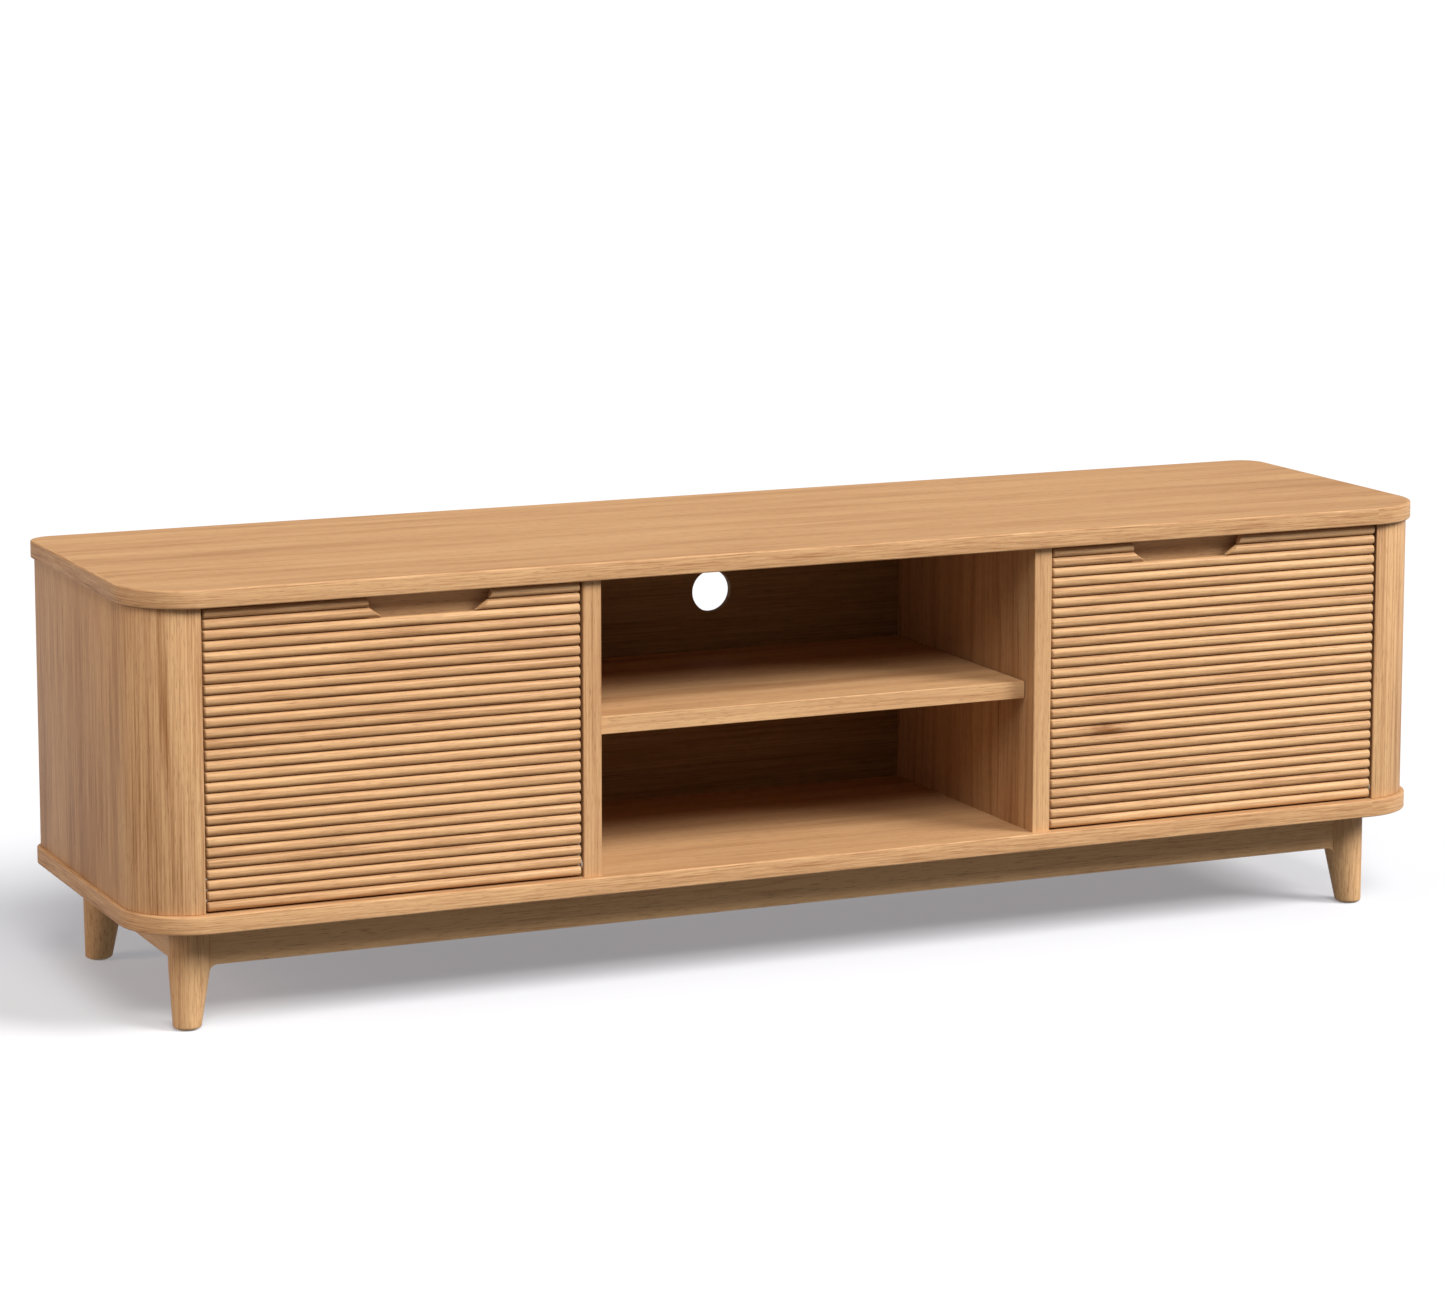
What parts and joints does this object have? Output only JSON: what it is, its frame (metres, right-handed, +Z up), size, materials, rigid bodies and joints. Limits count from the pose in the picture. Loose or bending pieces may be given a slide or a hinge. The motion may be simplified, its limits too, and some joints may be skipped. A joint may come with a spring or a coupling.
{
  "type": "media cabinet",
  "caption": "Low oak media cabinet with rounded ends, an open centre bay with a shelf, and a drop-down ribbed flap on each side, on tapered legs.",
  "frame": {"origin": "on the floor, under the middle of the cabinet", "axes": "+X along the cabinet's length towards its right end, +Y towards its back, +Z up; the front faces -Y"},
  "size_m": [1.6, 0.43, 0.49],
  "materials": {
    "oak_top": "satin lacquered oak, grain along the length",
    "oak_upright": "satin lacquered oak, upright grain",
    "oak_shelf": "satin lacquered oak, grain along the length",
    "oak_back": "satin lacquered oak veneer, grain along the length",
    "oak_flap": "satin lacquered oak veneer",
    "oak_rib": "satin lacquered half-round oak battens",
    "oak_leg": "satin lacquered turned oak, upright grain",
    "oak_apron": "satin lacquered oak, grain along the length",
    "beech": "planed bare beech",
    "zinc_plated_steel": "bright zinc plated",
    "nickel_plated_steel": "satin nickel plated",
    "nylon": "natural moulded nylon",
    "catch_plastic": "moulded brown plastic",
    "ferrite": "ground ferrite magnet"
  },
  "bodies": {
    "carcass": {"base_tenons": "beech", "bottom_panel": "oak_top", "carcass_dowels": "beech", "carcass_fitting_screws": "zinc_plated_steel", "catch_bodies": "catch_plastic", "catch_magnets": "ferrite", "centre_back_panel": "oak_back", "corner_block_screws": "zinc_plated_steel", "corner_blocks": "beech", "flap_pivot_bushes": "nylon", "front_apron": "oak_apron", "front_left_leg": "oak_leg", "front_right_leg": "oak_leg", "hanger_bolts": "zinc_plated_steel", "hanger_nuts": "zinc_plated_steel", "left_back_panel": "oak_back", "left_cross_rail": "beech", "left_divider": "oak_upright", "left_front_post": "oak_upright", "left_guide_stud": "nickel_plated_steel", "left_rear_post": "oak_upright", "left_side_apron": "oak_apron", "left_side_panel": "oak_upright", "left_stay_plate": "nickel_plated_steel", "leg_glides": "nylon", "middle_shelf": "oak_shelf", "rear_apron": "oak_apron", "rear_left_leg": "oak_leg", "rear_right_leg": "oak_leg", "right_back_panel": "oak_back", "right_cross_rail": "beech", "right_divider": "oak_upright", "right_front_post": "oak_upright", "right_guide_stud": "nickel_plated_steel", "right_rear_post": "oak_upright", "right_side_apron": "oak_apron", "right_side_panel": "oak_upright", "right_stay_plate": "nickel_plated_steel", "shelf_pins": "nickel_plated_steel", "top_panel": "oak_top"},
    "left_flap": {"left_flap_board": "oak_flap", "left_flap_ribs": "oak_rib", "left_pivot_plates": "nickel_plated_steel", "left_pivot_pins": "nickel_plated_steel", "left_flap_screws": "zinc_plated_steel", "left_stay_bracket": "nickel_plated_steel", "left_arm_rivet": "nickel_plated_steel", "left_strike_plate": "nickel_plated_steel"},
    "right_flap": {"right_flap_board": "oak_flap", "right_flap_ribs": "oak_rib", "right_pivot_plates": "nickel_plated_steel", "right_pivot_pins": "nickel_plated_steel", "right_flap_screws": "zinc_plated_steel", "right_stay_bracket": "nickel_plated_steel", "right_arm_rivet": "nickel_plated_steel", "right_strike_plate": "nickel_plated_steel"},
    "left_arm": {"left_stay_arm": "nickel_plated_steel"},
    "right_arm": {"right_stay_arm": "nickel_plated_steel"}
  },
  "joints": [
    {"name": "left_flap_hinge", "type": "hinge", "parent": "carcass", "child": "left_flap", "pos_m": [-0.507, -0.196, 0.1515], "axis": [1, 0, 0], "range_deg": [0, 90]},
    {"name": "left_arm_swing", "type": "hinge", "parent": "left_flap", "child": "left_arm", "pos_m": [-0.29745, -0.171, 0.2615], "axis": [1, 0, 0], "range_deg": [-45, 0]},
    {"name": "right_flap_hinge", "type": "hinge", "parent": "carcass", "child": "right_flap", "pos_m": [0.507, -0.196, 0.1515], "axis": [1, 0, 0], "range_deg": [0, 90]},
    {"name": "right_arm_swing", "type": "hinge", "parent": "right_flap", "child": "right_arm", "pos_m": [0.29745, -0.171, 0.2615], "axis": [1, 0, 0], "range_deg": [-45, 0]}
  ],
  "couplings": [
    {"joint": "left_arm_swing", "follows": "left_flap_hinge", "ratio": -0.5},
    {"joint": "right_arm_swing", "follows": "right_flap_hinge", "ratio": -0.5}
  ]
}
